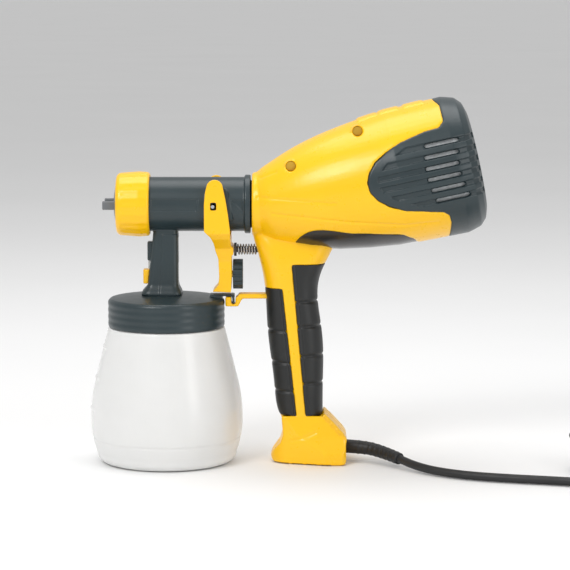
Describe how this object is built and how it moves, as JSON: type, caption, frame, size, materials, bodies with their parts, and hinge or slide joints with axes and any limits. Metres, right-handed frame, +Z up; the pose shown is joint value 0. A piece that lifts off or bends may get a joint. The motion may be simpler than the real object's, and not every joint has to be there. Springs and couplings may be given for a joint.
{
  "type": "electric paint sprayer",
  "caption": "Hand-held electric turbine paint sprayer with a screw-on translucent cup, pistol grip, sprung trigger, ribbed rear grille and mains cord.",
  "frame": {"origin": "centre of the cup's flat base, on the surface that the sprayer stands on", "axes": "+Z up, -X the way the nozzle points, +X towards the handle and motor, -Y the gun's left side"},
  "size_m": [0.4533, 0.1665, 0.2738],
  "materials": {
    "yellow_plastic": "satin moulded",
    "slate_plastic": "fine grain",
    "black_panel": "semi-gloss",
    "grip_rubber": "soft matte",
    "cup_plastic": "milky, translucent",
    "nozzle_grey": "satin",
    "inner_plastic": "matte",
    "clear_hose": "clear",
    "black_rubber": "matte",
    "filter_felt": "fibrous",
    "steel": "bright",
    "aluminium_parts": "satin",
    "copper_wire": "enamelled",
    "brass_parts": "turned",
    "carbon": "matte",
    "cord_black": "satin",
    "plug_metal": "nickel plated"
  },
  "bodies": {
    "gun": {"left_housing": "yellow_plastic", "right_housing": "yellow_plastic", "housing_screws": "steel", "bayonet_socket": "slate_plastic", "socket_seal": "black_rubber", "belly_panel": "black_panel", "front_grip": "grip_rubber", "rear_grip": "grip_rubber", "turbine_case": "inner_plastic", "outlet_funnel": "inner_plastic", "front_motor_mount": "black_rubber", "rear_motor_mount": "black_rubber", "motor_frame": "aluminium_parts", "motor_stator": "steel", "field_coils": "copper_wire", "motor_bearings": "steel", "brush_holders": "brass_parts", "carbon_brushes": "carbon", "switch_body": "inner_plastic", "suppressor": "inner_plastic", "inner_leads": "cord_black", "cord_clamp": "inner_plastic", "cord_sleeve": "cord_black", "cord": "cord_black", "cord_coil": "cord_black", "coil_tie": "cord_black", "plug_body": "cord_black", "plug_pins": "plug_metal"},
    "attachment": {"barrel": "slate_plastic", "fluid_nozzle": "nozzle_grey", "nozzle_seal": "black_rubber", "cup_lid": "slate_plastic", "lid_gasket": "black_rubber", "suction_tube": "slate_plastic", "needle_packing": "black_rubber", "vent_hose": "clear_hose", "vent_valve_cap": "yellow_plastic", "vent_diaphragm": "black_rubber"},
    "nut": {"union_nut": "yellow_plastic"},
    "air_cap": {"air_cap": "nozzle_grey"},
    "needle": {"needle": "steel", "needle_pin": "steel", "needle_spring": "steel"},
    "trigger": {"trigger": "yellow_plastic"},
    "flow_knob": {"flow_knob": "slate_plastic", "flow_screw": "brass_parts"},
    "cup": {"cup": "cup_plastic"},
    "plunger": {"switch_plunger": "inner_plastic", "plunger_spring": "steel"},
    "rotor": {"rotor_shaft": "steel", "rotor_core": "steel", "rotor_windings": "copper_wire", "commutator": "copper_wire", "impellers": "aluminium_parts"},
    "rear_cover": {"rear_cover": "slate_plastic", "air_filter": "filter_felt"}
  },
  "joints": [
    {"name": "attachment_twist", "type": "hinge", "parent": "gun", "child": "attachment", "pos_m": [0.065, 0, 0.194], "axis": [1, 0, 0], "range_deg": [0, 90]},
    {"name": "nut_turn", "type": "hinge", "parent": "attachment", "child": "nut", "pos_m": [-0.02, 0, 0.194], "axis": [-1, 0, 0], "range_deg": [0, 540]},
    {"name": "air_cap_turn", "type": "hinge", "parent": "nut", "child": "air_cap", "pos_m": [-0.032, 0, 0.194], "axis": [1, 0, 0], "range_deg": [0, 90]},
    {"name": "trigger_pull", "type": "hinge", "parent": "attachment", "child": "trigger", "pos_m": [0.037, 0, 0.2065], "axis": [0, -1, 0], "range_deg": [0, 7.5], "stiffness_Nm_per_rad": 1.2, "springref_deg": -14.32},
    {"name": "needle_slide", "type": "slide", "parent": "attachment", "child": "needle", "axis": [1, 0, 0], "range_m": [0, 0.0017]},
    {"name": "flow_knob_turn", "type": "hinge", "parent": "trigger", "child": "flow_knob", "pos_m": [0.05, 0, 0.1415], "axis": [1, 0, 0], "range_deg": [0, 540]},
    {"name": "cup_turn", "type": "hinge", "parent": "attachment", "child": "cup", "pos_m": [0, 0, 0.05], "axis": [0, 0, -1], "range_deg": [0, 540]},
    {"name": "plunger_slide", "type": "slide", "parent": "gun", "child": "plunger", "axis": [1, 0, 0], "range_m": [0, 0.0062], "stiffness_N_per_m": 300, "springref_m": -0.004},
    {"name": "rotor_spin", "type": "hinge", "parent": "gun", "child": "rotor", "pos_m": [0.06654, 0, 0.19056], "axis": [0.9763, 0, 0.2164], "continuous": true},
    {"name": "cover_slide", "type": "slide", "parent": "gun", "child": "rear_cover", "axis": [0.9763, 0, 0.2164], "range_m": [0, 0.05]}
  ],
  "couplings": [
    {"joint": "needle_slide", "follows": "trigger_pull", "m_per_rad": 0.0124},
    {"joint": "plunger_slide", "follows": "trigger_pull", "m_per_rad": 0.0465}
  ]
}
